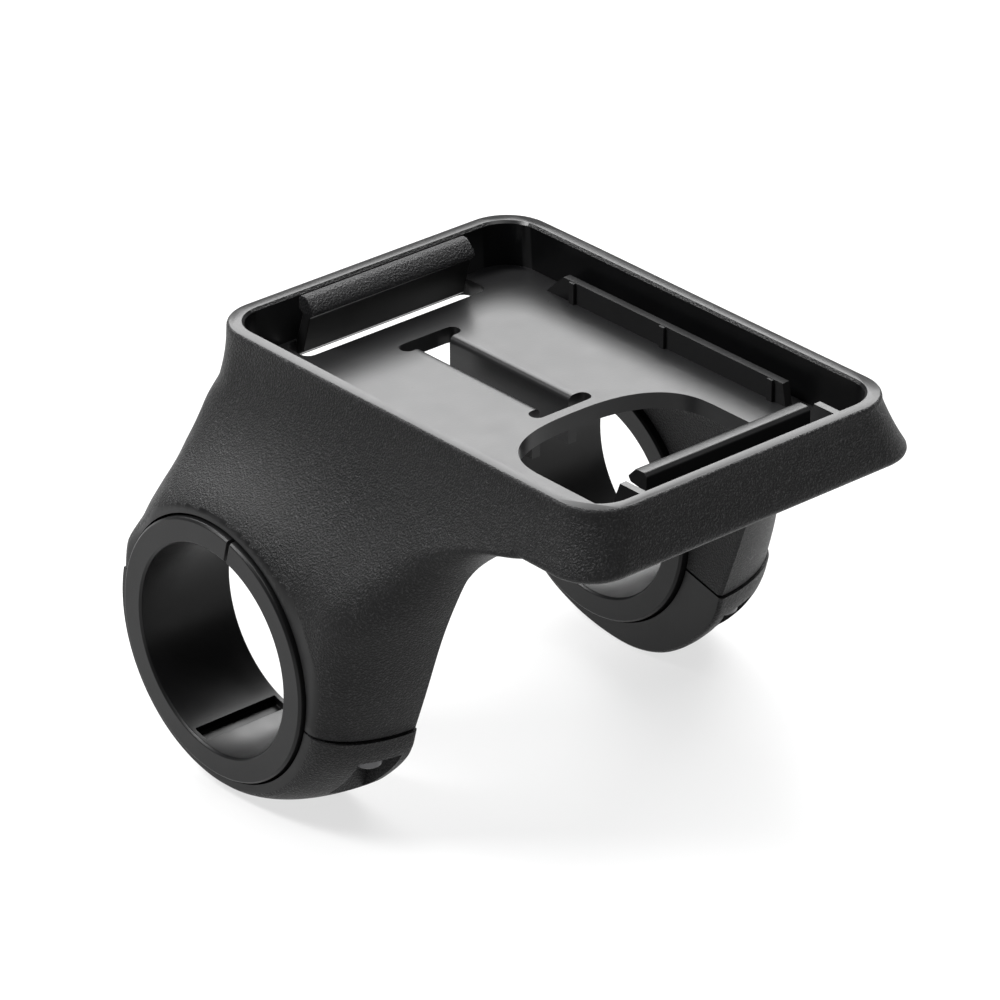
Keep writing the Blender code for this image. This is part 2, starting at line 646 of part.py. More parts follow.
def threaded_insert(side, name, material):
    profile = [(INSERT_RADIUS, INSERT_TOP), (INSERT_RADIUS, INSERT_BASE), (INSERT_BORE, INSERT_BASE),
               (INSERT_BORE, INSERT_TOP)]
    frame = clamp_place(side, SCREW_X, SCREW_S)
    return turned(name, profile, frame, 32, PARTS, material)


def main():
    clear_scene()
    black = plastic("black_textured_plastic", (0.016, 0.016, 0.017), 0.5)
    satin = plastic("black_satin_plastic", (0.02, 0.02, 0.021), 0.4)
    steel = plastic("blackened_steel", (0.05, 0.05, 0.052), 0.35, 1.0)
    brass = plastic("brass", (0.75, 0.55, 0.24), 0.3, 1.0)
    shade(holder_body(black))
    shade(latch("rear_release_latch", REAR_LATCH, REAR_LATCH_PIVOT, black))
    shade(latch("front_latch_bar", FRONT_LATCH, FRONT_LATCH_PIVOT, black))
    for side, label in ((-1, "left"), (1, "right")):
        shade(clamp_cap(side, f"{label}_clamp_cap", black))
        spacer_ring(side, f"{label}_spacer_ring", satin)
        shade(clamp_screw(side, f"{label}_clamp_screw", steel))
        threaded_insert(side, f"{label}_threaded_insert", brass)


main()
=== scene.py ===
"""Looks of the handlebar holder: rounded pieces, moulded-plastic materials, studio light and camera."""
import json
import math

import bmesh
import bpy
from mathutils import Matrix, Vector

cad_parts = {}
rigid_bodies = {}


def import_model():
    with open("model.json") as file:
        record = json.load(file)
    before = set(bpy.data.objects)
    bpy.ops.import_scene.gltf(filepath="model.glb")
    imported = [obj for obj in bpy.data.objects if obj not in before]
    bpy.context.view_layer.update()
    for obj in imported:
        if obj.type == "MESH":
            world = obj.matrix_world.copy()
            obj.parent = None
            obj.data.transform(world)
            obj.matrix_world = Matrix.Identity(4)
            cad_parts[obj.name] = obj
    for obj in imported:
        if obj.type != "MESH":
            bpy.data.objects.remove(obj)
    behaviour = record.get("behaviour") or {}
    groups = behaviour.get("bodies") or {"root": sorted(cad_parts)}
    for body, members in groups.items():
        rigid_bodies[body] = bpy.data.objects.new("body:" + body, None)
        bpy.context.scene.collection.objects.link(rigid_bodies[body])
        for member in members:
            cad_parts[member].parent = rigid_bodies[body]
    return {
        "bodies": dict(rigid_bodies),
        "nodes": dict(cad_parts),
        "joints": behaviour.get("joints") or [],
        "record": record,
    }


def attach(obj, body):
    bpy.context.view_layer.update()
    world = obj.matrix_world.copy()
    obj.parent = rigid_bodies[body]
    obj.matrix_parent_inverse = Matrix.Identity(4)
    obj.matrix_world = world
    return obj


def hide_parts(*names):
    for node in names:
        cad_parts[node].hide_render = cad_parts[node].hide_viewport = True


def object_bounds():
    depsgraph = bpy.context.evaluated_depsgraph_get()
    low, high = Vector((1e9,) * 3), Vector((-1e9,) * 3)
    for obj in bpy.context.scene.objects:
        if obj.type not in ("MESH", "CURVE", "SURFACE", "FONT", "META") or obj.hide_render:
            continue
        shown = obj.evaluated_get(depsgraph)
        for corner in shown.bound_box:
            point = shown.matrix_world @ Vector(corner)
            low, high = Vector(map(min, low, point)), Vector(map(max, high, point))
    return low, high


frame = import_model()
cad_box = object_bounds()

MM = 0.001
CLEARANCE = 0.3 * MM

# Handlebar, reducer ring and clamp
BAR_RADIUS = 12.7 * MM
RING_RADIUS = 15.75 * MM
RING_OUTER_X = 35.0 * MM
RING_INNER_X = 21.9 * MM
RING_CHAMFER = 0.25 * MM
RING_SLIT = 0.45 * MM
RING_GROOVE_WIDTH = 2.3 * MM
RING_GROOVE_DEPTH = 0.9 * MM
CLAMP_BORE = RING_RADIUS + CLEARANCE
CLAMP_OUTER_X = 34.3 * MM
CLAMP_INNER_X = 22.8 * MM
BAND_REAR = 16.85 * MM
BAND_FRONT = 17.25 * MM
SPLIT_TILT = math.radians(14.0)

# Tray
RIM_ROUND_Z = 31.1 * MM
FLOOR_TOP = 26.4 * MM
FLOOR_BOTTOM = 24.4 * MM
FLOOR_MIDDLE = (FLOOR_TOP + FLOOR_BOTTOM) / 2
FLOOR_CUT_HEIGHT = 8.0 * MM
TRAY_HALF_WIDTH = 22.65 * MM
TRAY_REAR = 14.9 * MM
TRAY_FRONT = -50.6 * MM
TRAY_CORNER = 5.8 * MM
TRAY_CORNER_STEPS = 14
TRAY_SIDE_STEPS = 110
FRONT_LEAN = 0.28
CAVITY_HALF_WIDTH = 20.85 * MM
CAVITY_REAR = 13.0 * MM
CAVITY_FRONT = -48.7 * MM
CAVITY_CORNER = 4.2 * MM
CAVITY_GROWTH = ((26.4, 0.0), (31.7, 0.0), (32.0, 0.3), (33.0, 1.3))

# Outer flank of tray and leg
FLANK_LEAN = 0.266
FLANK_LEAN_START = 4.0 * MM
FLANK_LEAN_RUN = 40.0 * MM
FLARE = 0.0242 / MM
PULL_START = 16.24 * MM
PULL_REACH = 3.37 * MM
PULL_TO = 38.4 * MM
FLANK_BLEND = 4.0 * MM
JOIN_Z = 25.4 * MM
FRONT_FLAT_X = 23.0 * MM
FRONT_POWER = 1.8
FRONT_STEPS = 16

# Cable-tie path and locating ribs on the tray's floor
TIE_CHANNEL_HALF_WIDTH = 2.1 * MM
TIE_CHANNEL_LIP = 0.8 * MM
TIE_CHANNEL_MIDDLE = -8.2 * MM
TIE_CHANNEL_LENGTH = 21.6 * MM
TIE_SLOT_HALF_LENGTH = 4.3 * MM
TIE_SLOT_HALF_WIDTH = 1.0 * MM
TIE_SLOT_ROUND = 0.95 * MM
TIE_SLOTS = (("tie_slot_rear", 2.9 * MM), ("tie_slot_front", -19.4 * MM))
TIE_FLANGE_OUTER_X = 3.3 * MM
RAIL_X = 18.85 * MM
RAIL_TOP = 29.1 * MM
RAIL_THICKNESS = 1.0 * MM
RIB_SPAN_X = (18.0 * MM, 18.6 * MM)
RIB_MIDDLES = (-0.9, -16.2, -34.0)
RIB_HALF_WIDTH = 0.4
RIB_TOP = 29.05 * MM
GUSSET_X = 14.2 * MM
GUSSET_TOP = 31.8 * MM
GUSSET_THICKNESS = 0.9 * MM

# Display latches
LATCH_HALF_WIDTH = 12.0 * MM
SLOT_HALF_WIDTH = 13.5 * MM
SLOT_FRONT = 8.4 * MM
SLOT_REAR = 12.6 * MM
REAR_LATCH_PIVOT = Vector((0.0, 11.7 * MM, 25.0 * MM))
FRONT_LATCH_PIVOT = Vector((0.0, -46.3 * MM, 25.0 * MM))

# Clamp screw and its insert, in the clamp's own plane
SCREW_X = 26.9 * MM
SCREW_S = 19.0 * MM
SCREW_SHANK = 1.1 * MM
SCREW_HEAD = 1.9 * MM
SCREW_HEAD_HEIGHT = 1.5 * MM
SCREW_TIP = 3.6 * MM
SOCKET_RADIUS = 0.85 * MM
CAP_FLANGE = 3.35 * MM
POCKET_OUTER_X = 29.7 * MM
POCKET_INNER_X = 24.4 * MM
INSERT_RADIUS = 1.75 * MM
CLAMP_CUT_LENGTH = 20.0 * MM
BORE_SEGMENTS = 192
HOLE_SEGMENTS = 32

# Hook hinge at the back of each cap
HINGE_S = -18.4 * MM
HINGE_BAR = 0.9 * MM
LUG_RADIUS = 1.2 * MM
LUG_SPANS = ((30.4 * MM, 29.2 * MM), (24.9 * MM, 23.7 * MM))
HOOK_SPAN = (28.9 * MM, 25.2 * MM)
HOOK_INNER = 1.2 * MM
HOOK_OUTER = 2.1 * MM
CAP_MIDDLE_X = 28.5 * MM

PARTS = "visual_pieces"
CUTTERS = "cutters"


def place(obj, collection, material=None):
    bpy.data.collections[collection].objects.link(obj)
    if material:
        obj.data.materials.clear()
        obj.data.materials.append(material)
    if collection == CUTTERS:
        obj.hide_render = True
        obj.display_type = "WIRE"
    return obj


def object_from(bm, name, collection=CUTTERS, material=None):
    bmesh.ops.recalc_face_normals(bm, faces=bm.faces)
    mesh = bpy.data.meshes.new(name)
    bm.to_mesh(mesh)
    bm.free()
    return place(bpy.data.objects.new(name, mesh), collection, material)


def boolean(target, tool, operation):
    modifier = target.modifiers.new(tool.name, "BOOLEAN")
    modifier.operation = operation
    modifier.solver = "EXACT"
    modifier.object = tool


def cut(target, *tools):
    for tool in tools:
        boolean(target, tool, "DIFFERENCE")


def join(target, *tools):
    for tool in tools:
        boolean(target, tool, "UNION")


def move_origin(obj, point):
    """Put the object's origin on its joint without moving its mesh."""
    obj.data.transform(Matrix.Translation(-point))
    obj.location = point


# ---------------------------------------------------------------- shape helpers

def smoothstep(t):
    t = min(max(t, 0.0), 1.0)
    return t * t * (3.0 - 2.0 * t)


def smooth_min(a, b, width):
    """Smaller of two sizes, rounded over where they are within width of each other."""
    blend = max(width - abs(a - b), 0.0) / width
    return min(a, b) - blend * blend * width / 4.0


def along(table, value):
    """Read a short table of (position, size) pairs as a smooth curve that never overshoots its rows."""
    if value <= table[0][0]:
        return table[0][1]
    if value >= table[-1][0]:
        return table[-1][1]
    secants = [(after[1] - before[1]) / (after[0] - before[0]) for before, after in zip(table, table[1:])]
    slopes = [secants[0]]
    for one, two in zip(secants, secants[1:]):
        slopes.append(2.0 * one * two / (one + two) if one * two > 0.0 else 0.0)
    slopes.append(secants[-1])
    i = max(k for k in range(len(secants)) if table[k][0] <= value)
    run = table[i + 1][0] - table[i][0]
    t = (value - table[i][0]) / run
    rise = table[i + 1][1] - table[i][1]
    return (table[i][1] + rise * smoothstep(t)
            + run * t * (1.0 - t) * (slopes[i] * (1.0 - t) - slopes[i + 1] * t))


def smooth_outline(points, steps):
    """Open Catmull-Rom curve through the points."""
    ends = [2 * Vector(points[0]) - Vector(points[1]), 2 * Vector(points[-1]) - Vector(points[-2])]
    path = [ends[0], *(Vector(p) for p in points), ends[1]]
    curve = []
    for a, b, c, d in zip(path, path[1:], path[2:], path[3:]):
        for i in range(steps):
            t = i / steps
            curve.append(0.5 * ((2 * b) + (c - a) * t + (2 * a - 5 * b + 4 * c - d) * t * t
                                + (3 * b - a - 3 * c + d) * t ** 3))
    curve.append(path[-2])
    return curve


def rounded_rectangle(low, high, radius, steps=8):
    corners = ((high[0], high[1], 0), (low[0], high[1], 90), (low[0], low[1], 180), (high[0], low[1], 270))
    points = []
    for x, y, start in corners:
        centre = Vector((x - radius if x == high[0] else x + radius,
                         y - radius if y == high[1] else y + radius))
        for i in range(steps + 1):
            angle = math.radians(start + 90.0 * i / steps)
            points.append(centre + radius * Vector((math.cos(angle), math.sin(angle))))
    return points


def loft(sections, name, collection=CUTTERS, material=None):
    """Skin a stack of closed sections that have the same number of points."""
    bm = bmesh.new()
    rings = [[bm.verts.new(point) for point in section] for section in sections]
    for lower, upper in zip(rings, rings[1:]):
        for i in range(len(lower)):
            j = (i + 1) % len(lower)
            bm.faces.new((lower[i], lower[j], upper[j], upper[i]))
    bm.faces.new(rings[0])
    bm.faces.new(rings[-1])
    return object_from(bm, name, collection, material)


def prism(name, outline, thickness, frame, collection=CUTTERS, material=None):
    """Extrude a flat outline by thickness, centred on the frame's XY plane."""
    curve = bpy.data.curves.new(name, "CURVE")
    curve.dimensions = "2D"
    curve.fill_mode = "BOTH"
    curve.extrude = thickness / 2.0
    spline = curve.splines.new("POLY")
    spline.points.add(len(outline) - 1)
    for spot, point in zip(spline.points, outline):
        spot.co = (point[0], point[1], 0.0, 1.0)
    spline.use_cyclic_u = True
    drawing = place(bpy.data.objects.new(name, curve), CUTTERS)
    bpy.context.view_layer.update()
    evaluated = drawing.evaluated_get(bpy.context.evaluated_depsgraph_get())
    mesh = bpy.data.meshes.new_from_object(evaluated)
    bpy.data.objects.remove(drawing, do_unlink=True)
    bpy.data.curves.remove(curve)
    bm = bmesh.new()
    bm.from_mesh(mesh)
    bpy.data.meshes.remove(mesh)
    bmesh.ops.remove_doubles(bm, verts=bm.verts, dist=0.005 * MM)
    bmesh.ops.transform(bm, matrix=frame, verts=bm.verts)
    return object_from(bm, name, collection, material)


def box(name, low, high, frame=Matrix.Identity(4)):
    low, high = Vector(low), Vector(high)
    bm = bmesh.new()
    bmesh.ops.create_cube(bm, size=1.0)
    size = high - low
    placed = frame @ Matrix.Translation((low + high) / 2) @ Matrix.Diagonal((*size, 1))
    bmesh.ops.transform(bm, matrix=placed, verts=bm.verts)
    return object_from(bm, name)


def cylinder(name, radius, length, frame, segments):
    """Closed cylinder along the frame's Z axis, centred on its origin."""
    bm = bmesh.new()
    bmesh.ops.create_cone(bm, cap_ends=True, segments=segments, radius1=radius, radius2=radius, depth=length)
    bmesh.ops.transform(bm, matrix=frame, verts=bm.verts)
    return object_from(bm, name)


def turned(name, profile, frame, steps, collection, material):
    """Spin a closed profile of (radius, height) points about the frame's Z axis with a Screw modifier."""
    bm = bmesh.new()
    verts = [bm.verts.new((radius, 0.0, height)) for radius, height in profile]
    for i in range(len(verts)):
        bm.edges.new((verts[i], verts[(i + 1) % len(verts)]))
    mesh = bpy.data.meshes.new(name)
    bm.to_mesh(mesh)
    bm.free()
    obj = place(bpy.data.objects.new(name, mesh), collection, material)
    obj.matrix_world = frame
    screw = obj.modifiers.new("spin", "SCREW")
    screw.steps = steps
    screw.render_steps = steps
    screw.use_merge_vertices = True
    screw.merge_threshold = 0.00001
    screw.use_smooth_shade = True
    return obj


YZ_FRAME = Matrix(((0, 0, 1, 0), (1, 0, 0, 0), (0, 1, 0, 0), (0, 0, 0, 1)))
ALONG_X = Matrix.Rotation(math.radians(90), 4, "Y")

# Clamp's own axes: X along the bar, Y backwards along the split, Z up from the split
CLAMP_FRAME = Matrix.Rotation(SPLIT_TILT, 4, "X")


def clamp_place(side, x, s, h=0.0):
    """Clamp axes moved to x along the bar, s towards the screw and h above the split."""
    return CLAMP_FRAME @ Matrix.Translation((side * x, -s, h))


def clamp_section(side, x):
    """Frame whose XY plane holds (towards the screw, up) at distance x along the bar."""
    turn = Matrix(((0, 0, -1, 0), (-1, 0, 0, 0), (0, 1, 0, 0), (0, 0, 0, 1)))
    return clamp_place(side, x, 0.0) @ turn


def clamp_box(name, side, x_span, s_span, h_span):
    xs = sorted(side * x for x in x_span)
    return box(name, (xs[0], -max(s_span), min(h_span)), (xs[1], -min(s_span), max(h_span)), CLAMP_FRAME)


# ---------------------------------------------------------------- body

# Leg and rim by height above the bar axis, all in millimetres: where the front and rear edges lie, the rear
# corner's radius, the share of it that the flank's curve stops short of, the depth over which the front
# rounds, where the inner wall lies, and how far the tray's outline is drawn in
FRONT_EDGE = [(-8.0, -20.3), (0.0, -23.3), (8.0, -26.2), (13.0, -28.4), (18.0, -31.1), (20.5, -33.4),
              (22.3, -36.0), (23.4, -38.6), (24.4, -42.0), (25.4, -43.0)]
REAR_EDGE = [(-8.0, 16.4), (5.0, 16.4), (9.0, 16.2), (14.0, 15.6), (20.0, 15.0), (25.4, 14.9)]
REAR_ROUND = [(4.0, 0.5), (7.0, 1.1), (11.0, 5.0), (15.0, 5.9), (19.0, 4.4), (22.5, 4.1), (25.4, 5.8)]
CORNER_HOLD = [(8.0, 0.20), (16.0, 0.28), (25.4, 1.0)]
FRONT_DEPTH = [(-6.0, 5.4), (0.0, 6.4), (8.0, 8.8), (14.0, 10.0), (18.0, 9.0), (22.0, 6.0), (25.4, 3.0)]
INNER_WALL = [(17.0, 22.8), (19.5, 22.1), (22.0, 20.6), (24.0, 18.9), (25.4, 17.2)]
RIM_INSETS = [(24.4, 1.2), (24.5, 0.85), (24.8, 0.4), (25.1, 0.12), (25.4, 0.0),
              *((26.2 + step, 0.0) for step in range(5)),
              (31.1, 0.0), (31.6, 0.01), (31.8, 0.07), (31.92, 0.16), (32.0, 0.3)]
LEG_LEVELS = [-8 + 0.5 * step for step in range(65)] + [24.4, 24.8, 25.1]

# Inset of the inner edge by distance along the bar, for legs and caps
INNER_EDGE = [(22.8, 0.35), (23.0, 0.12), (23.3, 0.0)]


def flank(y, z):
    """Distance of the outer flank from the middle plane: a leaning wall pulled out to the clamp's face."""
    drop = max(RIM_ROUND_Z - z, 0.0)
    lean = FLANK_LEAN * smoothstep((FLANK_LEAN_START - y) / FLANK_LEAN_RUN)
    wall = TRAY_HALF_WIDTH + lean * drop + FLARE * drop ** 2
    beyond = max(math.hypot(y, z) - PULL_START, 0.0)
    pull = math.exp(-beyond / PULL_REACH)
    pulled = wall + max(PULL_TO - wall, 0.0) * pull
    return smooth_min(pulled, CLAMP_OUTER_X, FLANK_BLEND)


def rounded(t):
    """Rise from 0 to 1 along a quarter of a flattened ellipse."""
    t = min(max(t, 0.0), 1.0)
    return (1.0 - (1.0 - t) ** FRONT_POWER) ** (1.0 / FRONT_POWER)


def tray_half(z, inset):
    """Half of the tray's outline, from the rear corner along the flank and round the front corner."""
    front = TRAY_FRONT - FRONT_LEAN * (RIM_ROUND_Z - min(z, RIM_ROUND_Z)) + inset
    rear = TRAY_REAR - inset
    corner = TRAY_CORNER - inset
    half = []
    for i in range(TRAY_CORNER_STEPS):
        angle = math.radians(90 * (1 - i / TRAY_CORNER_STEPS))
        y = rear - corner + corner * math.sin(angle)
        half.append((flank(rear - corner, z) - inset - corner * (1 - math.cos(angle)), y))
    for i in range(TRAY_SIDE_STEPS + 1):
        y = rear - corner + (front - rear + 2 * corner) * i / TRAY_SIDE_STEPS
        half.append((flank(y, z) - inset, y))
    for i in range(1, TRAY_CORNER_STEPS + 1):
        angle = math.radians(90 * i / TRAY_CORNER_STEPS)
        y = front + corner - corner * math.sin(angle)
        half.append((flank(front + corner, z) - inset - corner * (1 - math.cos(angle)), y))
    return half


def tray_section(z, inset):
    half = tray_half(z, inset)
    right = [Vector((x, y, z)) for x, y in half]
    left = [Vector((-x, y, z)) for x, y in reversed(half)]
    return right + left


def leg_stations():
    """Tray outline points that the leg's skin runs into, and the fractions of its depth they stand at."""
    level = JOIN_Z / MM
    front = along(FRONT_EDGE, level) * MM
    start = front + along(FRONT_DEPTH, level) * MM
    shared = [point for point in reversed(tray_half(JOIN_Z, 0.0)) if point[1] > start]
    fractions = [(y - front) / (TRAY_REAR - front) for _, y in shared]
    lead = [fractions[0] * (i / FRONT_STEPS) ** 1.4 for i in range(FRONT_STEPS)]
    return shared, lead + fractions


def leg_section(side, z):
    shared, fractions = leg_stations()
    front = along(FRONT_EDGE, z / MM) * MM
    rear = along(REAR_EDGE, z / MM) * MM
    depth = along(FRONT_DEPTH, z / MM) * MM
    corner = along(REAR_ROUND, z / MM) * MM
    hold = along(CORNER_HOLD, z / MM)
    inner = along(INNER_WALL, z / MM) * MM
    edge = INNER_EDGE[0][1] * MM
    skin = []
    for fraction in fractions:
        y = front + (rear - front) * fraction
        x = flank(min(y, rear - hold * corner), z)
        x = FRONT_FLAT_X + (x - FRONT_FLAT_X) * rounded((y - front) / depth)
        behind = max(y - (rear - corner), 0.0)
        x -= corner - math.sqrt(max(corner ** 2 - behind ** 2, 0.0))
        skin.append((max(x, inner + edge), y))
    tuck = 0.0
    if z == JOIN_Z:
        skin[FRONT_STEPS:] = shared
        tuck = edge
    outline = [(inner, front + edge), (inner + edge, front), *skin, (inner + edge / 2, rear - tuck),
               (inner, rear - edge - tuck)]
    return [Vector((side * x, y, z)) for x, y in outline]


def leg(side):
    """Leg with its skin run into the tray's outline at the join, and its top tucked inside the tray."""
    sections = [leg_section(side, z * MM) for z in LEG_LEVELS]
    join_section = leg_section(side, JOIN_Z)
    tuck = Vector((-side * MM, -MM, 0.6 * MM))
    return loft([*sections, join_section, [point + tuck for point in join_section]], f"leg_{side:+d}")


def cable_opening():
    """Rounded opening at the tray's free end, for the display's plug and lead."""
    half_width, shoulder, depth, power = 12.8 * MM, -31.0 * MM, 9.3 * MM, 2.6
    front, corner = -47.25 * MM, 0.6 * MM
    arc = []
    for i in range(61):
        angle = math.pi * i / 60
        across = math.copysign(abs(math.cos(angle)) ** (2 / power), math.cos(angle))
        arc.append((half_width * across, shoulder + depth * abs(math.sin(angle)) ** (2 / power)))
    for centre_x, start in ((-half_width + corner, 180), (half_width - corner, 270)):
        for i in range(6):
            angle = math.radians(start + 18 * i)
            arc.append((centre_x + corner * math.cos(angle), front + corner + corner * math.sin(angle)))
    return prism("cable_opening", arc, FLOOR_CUT_HEIGHT, Matrix.Translation((0, 0, FLOOR_MIDDLE)))


def tie_channel():
    """Slot along the floor with rounded upper edges."""
    lip = []
    for degrees in range(0, 91, 18):
        angle = math.radians(degrees)
        lip.append((TIE_CHANNEL_HALF_WIDTH + TIE_CHANNEL_LIP * (1 - math.cos(angle)),
                    FLOOR_TOP - TIE_CHANNEL_LIP * (1 - math.sin(angle))))
    below, above = 18 * MM, 28 * MM
    right = [(TIE_CHANNEL_HALF_WIDTH, below), *lip, (TIE_CHANNEL_HALF_WIDTH + TIE_CHANNEL_LIP, above)]
    outline = right + [(-x, z) for x, z in reversed(right)]
    upright = Matrix.Translation((0, TIE_CHANNEL_MIDDLE, 0)) @ Matrix.Rotation(math.radians(90), 4, "X")
    return prism("tie_channel", outline, TIE_CHANNEL_LENGTH, upright)


def floor_slots():
    level = Matrix.Translation((0, 0, FLOOR_MIDDLE))
    rear = rounded_rectangle((-SLOT_HALF_WIDTH, SLOT_FRONT), (SLOT_HALF_WIDTH, SLOT_REAR), 1.2 * MM, 4)
    tools = [prism("rear_slot", rear, FLOOR_CUT_HEIGHT, level)]
    for name, middle in TIE_SLOTS:
        outline = rounded_rectangle((-TIE_SLOT_HALF_LENGTH, middle - TIE_SLOT_HALF_WIDTH),
                                    (TIE_SLOT_HALF_LENGTH, middle + TIE_SLOT_HALF_WIDTH), TIE_SLOT_ROUND, 4)
        tools.append(prism(name, outline, FLOOR_CUT_HEIGHT, level))
    tools.append(tie_channel())
    return tools


def rail(side):
    """Low locating rail beside the display, with a sloped rear end."""
    foot = FLOOR_TOP - 0.6 * MM
    outline = [(3.9 * MM, foot), (3.7 * MM, FLOOR_TOP), (0.8 * MM, RAIL_TOP), (-35.8 * MM, RAIL_TOP),
               (-36.3 * MM, FLOOR_TOP), (-36.3 * MM, foot)]
    middle = Matrix.Translation((side * RAIL_X, 0, 0))
    return prism(f"rail_{side:+d}", outline, RAIL_THICKNESS, middle @ YZ_FRAME)


def crush_ribs(side):
    """Small ribs on the rail that press on the display's edge."""
    near, far = sorted(side * x for x in RIB_SPAN_X)
    ribs = []
    for number, y in enumerate(RIB_MIDDLES):
        low = (near, (y - RIB_HALF_WIDTH) * MM, FLOOR_TOP - 0.4 * MM)
        high = (far, (y + RIB_HALF_WIDTH) * MM, RIB_TOP)
        ribs.append(box(f"rib_{side:+d}_{number}", low, high))
    return ribs


def gusset(side):
    """Upright web that stiffens the front latch's pocket."""
    base = 25.6 * MM
    outline = [(-49.4 * MM, base), (-43.3 * MM, base), (-43.4 * MM, FLOOR_TOP), (-45.6 * MM, GUSSET_TOP),
               (-49.4 * MM, GUSSET_TOP)]
    middle = Matrix.Translation((side * GUSSET_X, 0, 0))
    return prism(f"gusset_{side:+d}", outline, GUSSET_THICKNESS, middle @ YZ_FRAME)


def tie_flange(side):
    """Lip under the floor along the tie channel."""
    low, high = sorted((side * TIE_CHANNEL_HALF_WIDTH, side * TIE_FLANGE_OUTER_X))
    return box(f"tie_flange_{side:+d}", (low, -18.4 * MM, 20.4 * MM), (high, 1.9 * MM, 25.0 * MM))


def hinge_mount(side):
    """Two lugs and the bar between them that the cap's hook turns on."""
    pieces = []
    for number, (outer, inner) in enumerate(LUG_SPANS):
        outline = [(HINGE_S + LUG_RADIUS * math.cos(math.radians(a)), LUG_RADIUS * math.sin(math.radians(a)))
                   for a in range(180, 345, 15)]
        outline += [(HINGE_S + LUG_RADIUS, 0.6 * MM), (-16.4 * MM, 0.6 * MM), (-16.4 * MM, 4.6 * MM),
                    (HINGE_S - LUG_RADIUS + 0.9 * MM, 3.2 * MM)]
        pieces.append(prism(f"lug_{side:+d}_{number}", outline, outer - inner,
                            clamp_section(side, (outer + inner) / 2)))
    length = LUG_SPANS[0][0] - LUG_SPANS[1][1] - 1.0 * MM
    middle = (LUG_SPANS[0][0] + LUG_SPANS[1][1]) / 2
    frame = clamp_place(side, middle, HINGE_S) @ ALONG_X
    pieces.append(cylinder(f"hinge_bar_{side:+d}", HINGE_BAR, length, frame, 24))
    return pieces


def clamp_cuts(side):
    """Bar bore, the split below it and the insert's blind hole."""
    middle = (CLAMP_OUTER_X + CLAMP_INNER_X) / 2
    bore = cylinder(f"bore_{side:+d}", CLAMP_BORE, CLAMP_CUT_LENGTH, clamp_place(side, middle, 0) @ ALONG_X,
                    BORE_SEGMENTS)
    below = clamp_box(f"below_split_{side:+d}", side, (20 * MM, 40 * MM), (-17.3 * MM, 40 * MM),
                      (-20 * MM, CLEARANCE / 2))
    hole = cylinder(f"insert_hole_{side:+d}", INSERT_RADIUS + CLEARANCE, 9.0 * MM,
                    clamp_place(side, SCREW_X, SCREW_S, 3.0 * MM), HOLE_SEGMENTS)
    return bore, below, hole


def cavity_section(z, grow):
    """Outline of the tray's hollow, grown outwards for the chamfer inside the rim."""
    grow = grow * MM
    low = (-CAVITY_HALF_WIDTH - grow, CAVITY_FRONT - grow)
    high = (CAVITY_HALF_WIDTH + grow, CAVITY_REAR + grow)
    outline = rounded_rectangle(low, high, CAVITY_CORNER + grow, TRAY_CORNER_STEPS)
    return [point.to_3d() + Vector((0, 0, z * MM)) for point in outline]


def holder_body(material):
    """Tray and both legs in one moulding, with its rails, slots, bores and hinge mounts."""
    sections = [tray_section(z * MM, inset * MM) for z, inset in RIM_INSETS]
    body = loft(sections, "holder_body", PARTS, material)
    pocket = loft([cavity_section(z, grow) for z, grow in CAVITY_GROWTH], "tray_cavity")
    join(body, leg(-1), leg(1))
    cut(body, pocket)
    for side in (-1, 1):
        join(body, rail(side), *crush_ribs(side), gusset(side), tie_flange(side))
    cut(body, cable_opening(), *floor_slots())
    for side in (-1, 1):
        cut(body, *clamp_cuts(side))
        join(body, *hinge_mount(side))
    return body


# ---------------------------------------------------------------- latches

# Latch outlines as (y, z) in millimetres
REAR_LATCH = [(10.85, 25.7), (10.75, 26.3), (9.6, 30.35), (8.85, 30.9), (9.0, 31.5), (10.0, 32.55),
              (10.3, 32.75), (11.1, 32.75), (11.5, 32.3), (11.5, 31.0), (10.85, 30.6), (12.25, 26.3),
              (12.25, 24.7)]
FRONT_LATCH = [(-45.7, 24.7), (-45.7, 30.4), (-44.3, 30.6), (-43.9, 31.2), (-45.0, 32.35), (-45.4, 32.5),
               (-46.5, 32.5), (-46.9, 32.1), (-46.9, 24.7)]


def latch(name, outline, pivot, material):
    """Sprung tongue of one outline, with its origin on its hinge line."""
    points = [(y * MM, z * MM) for y, z in outline]
    obj = prism(name, points, 2 * LATCH_HALF_WIDTH, YZ_FRAME, PARTS, material)
    move_origin(obj, pivot)
    return obj


# ---------------------------------------------------------------- clamp pieces

# Cap's outline in the clamp's plane, as millimetres (towards the screw, up from the split)
CAP_PROFILE = [(22.2, 1.0), (22.2, -0.8), (22.1, -2.6), (21.5, -4.8), (19.9, -7.8), (17.6, -11.1),
               (14.4, -14.1), (10.2, -16.2), (5.2, -17.2), (0.0, -17.3), (-5.2, -16.3), (-10.0, -13.8),
               (-13.9, -9.8), (-16.1, -5.2), (-16.85, -0.8), (-16.85, 1.0)]
CAP_STATIONS = [34.3, 34.15] + [34.0 - 0.4 * i for i in range(27)] + [23.3, 23.15, 23.0, 22.88, 22.8]


